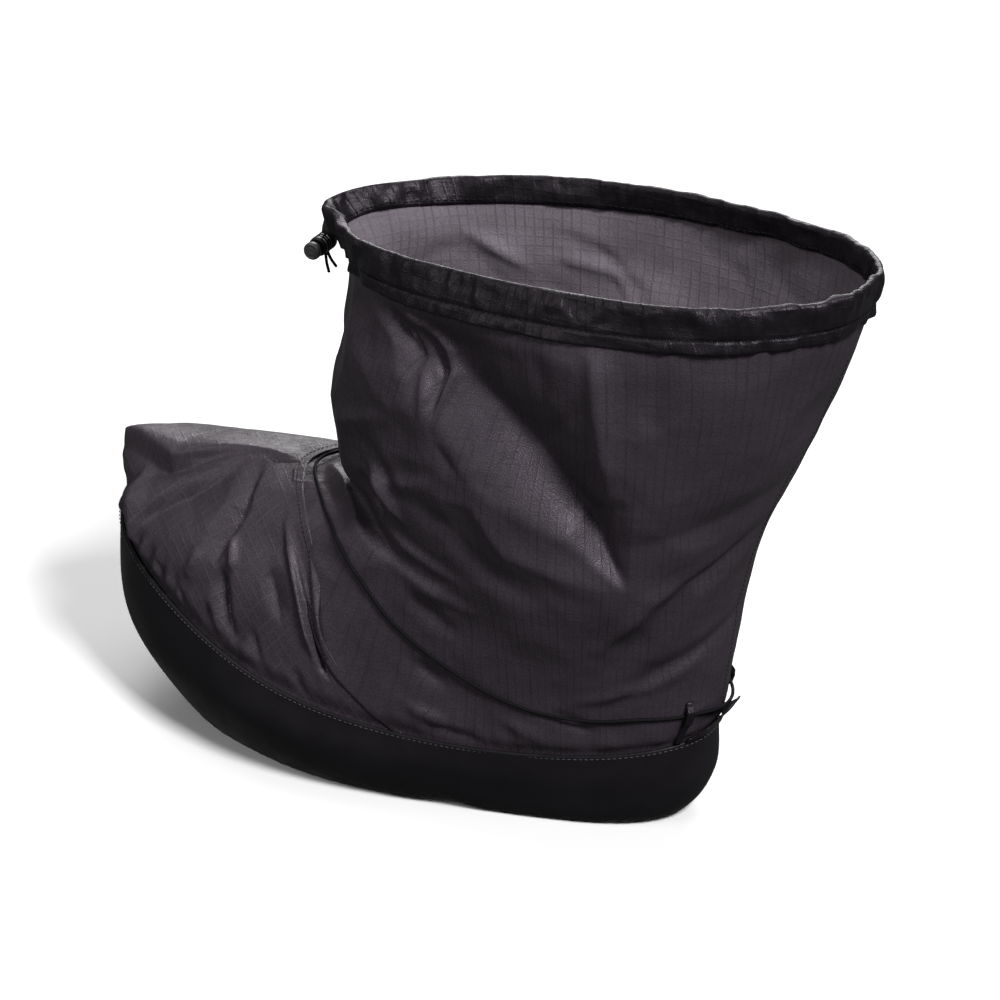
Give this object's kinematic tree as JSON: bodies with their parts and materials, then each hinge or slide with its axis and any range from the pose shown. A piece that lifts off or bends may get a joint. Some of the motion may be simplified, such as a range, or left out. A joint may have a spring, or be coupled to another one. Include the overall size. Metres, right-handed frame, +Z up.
{
  "type": "overboot",
  "caption": "Soft cloth overboot for the left foot: hollow upper with a wide drawcord collar, ankle elastic with heel keeper and straps, cord lock, and a pebbled sole turned up as a rand.",
  "frame": {"origin": "On the flat of the sole under the forefoot, on the boot's centre line, at the middle of the sole's length.", "axes": "+Z up, toe along -Y, the outer (left) side of the foot along +X."},
  "size_m": [0.1436, 0.3834, 0.2826],
  "materials": {
    "coated_sole": "matte near-black coated cloth with a pebbled grain",
    "ripstop": "thin charcoal ripstop cloth with a fine grid and a soft sheen",
    "casing_cloth": "doubled darker cloth, matte",
    "elastic": "black covered elastic cord",
    "lock_plastic": "black moulded plastic",
    "button_plastic": "grey moulded plastic",
    "drawcord": "black braided cord"
  },
  "bodies": {
    "boot": {"sole": "coated_sole", "upper": "ripstop", "collar_casing": "casing_cloth", "ankle_elastic": "elastic", "heel_keeper": "casing_cloth", "elastic_strap_outer": "casing_cloth", "elastic_strap_inner": "casing_cloth", "cord_lock_barrel": "lock_plastic", "drawcord_end_outer": "drawcord", "drawcord_end_inner": "drawcord"},
    "button": {"cord_lock_button": "button_plastic"}
  },
  "joints": [
    {"name": "button_press", "type": "slide", "parent": "boot", "child": "button", "axis": [-1, 0, 0], "range_m": [0, 0.0025], "stiffness_N_per_m": 400}
  ]
}
